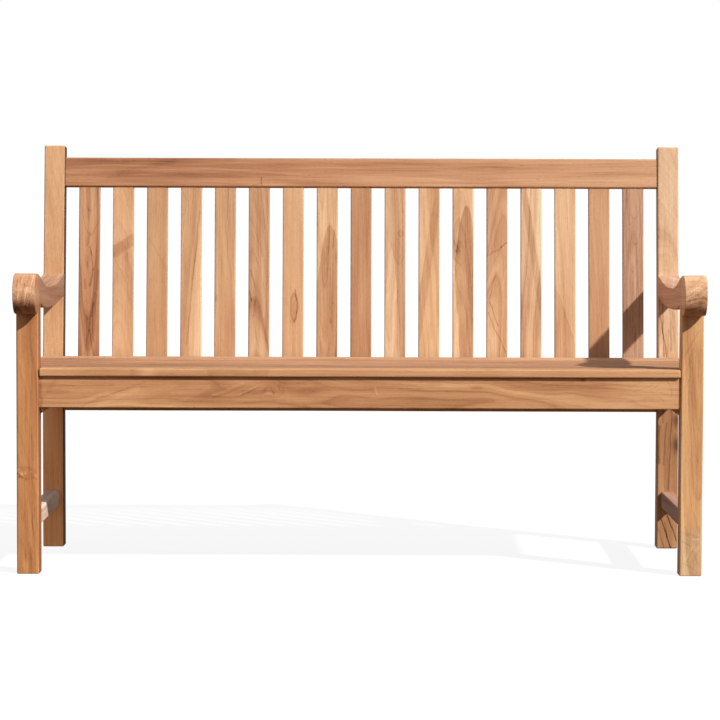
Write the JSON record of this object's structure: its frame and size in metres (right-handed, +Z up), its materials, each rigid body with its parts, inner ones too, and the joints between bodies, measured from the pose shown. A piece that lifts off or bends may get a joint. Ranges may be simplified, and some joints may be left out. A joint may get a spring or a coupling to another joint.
{
  "type": "garden bench",
  "caption": "Long slatted wooden garden bench with a leaning slatted back, a flat slatted seat, and dished arms that end in round scrolls.",
  "frame": {"origin": "on the ground, under the middle of the bench's outline seen from above", "axes": "+X along the bench, to the right as seen from in front, +Y from the front edge to the back, +Z up; the front faces -Y"},
  "size_m": [1.5, 0.6404, 0.9477],
  "materials": {
    "teak_frame": "sanded, unoiled teak",
    "teak_slats": "sanded, unoiled teak",
    "teak_pegs": "sanded teak pegs and plugs",
    "steel_screws": "bright stainless"
  },
  "bodies": {
    "root": {"front_leg_left": "teak_frame", "front_leg_right": "teak_frame", "rear_leg_left": "teak_frame", "rear_leg_right": "teak_frame", "arm_left": "teak_frame", "arm_right": "teak_frame", "side_rail_left": "teak_frame", "side_rail_right": "teak_frame", "side_stretcher_left": "teak_frame", "side_stretcher_right": "teak_frame", "front_apron": "teak_frame", "rear_seat_rail": "teak_frame", "top_rail": "teak_frame", "seat_bearer_left": "teak_frame", "seat_bearer_right": "teak_frame", "back_slat_01": "teak_slats", "back_slat_02": "teak_slats", "back_slat_03": "teak_slats", "back_slat_04": "teak_slats", "back_slat_05": "teak_slats", "back_slat_06": "teak_slats", "back_slat_07": "teak_slats", "back_slat_08": "teak_slats", "back_slat_09": "teak_slats", "back_slat_10": "teak_slats", "back_slat_11": "teak_slats", "back_slat_12": "teak_slats", "back_slat_13": "teak_slats", "back_slat_14": "teak_slats", "back_slat_15": "teak_slats", "back_slat_16": "teak_slats", "back_slat_17": "teak_slats", "seat_slat_1": "teak_slats", "seat_slat_2": "teak_slats", "seat_slat_3": "teak_slats", "seat_slat_4": "teak_slats", "seat_slat_5": "teak_slats", "seat_slat_6": "teak_slats", "seat_slat_7": "teak_slats", "seat_slat_8": "teak_slats", "seat_screws": "steel_screws", "seat_plugs": "teak_pegs", "top_rail_pegs": "teak_pegs", "rear_rail_pegs": "teak_pegs", "side_rail_pegs": "teak_pegs", "stretcher_pegs": "teak_pegs", "arm_pegs": "teak_pegs", "arm_screws": "steel_screws", "arm_plugs": "teak_pegs"}
  },
  "joints": []
}
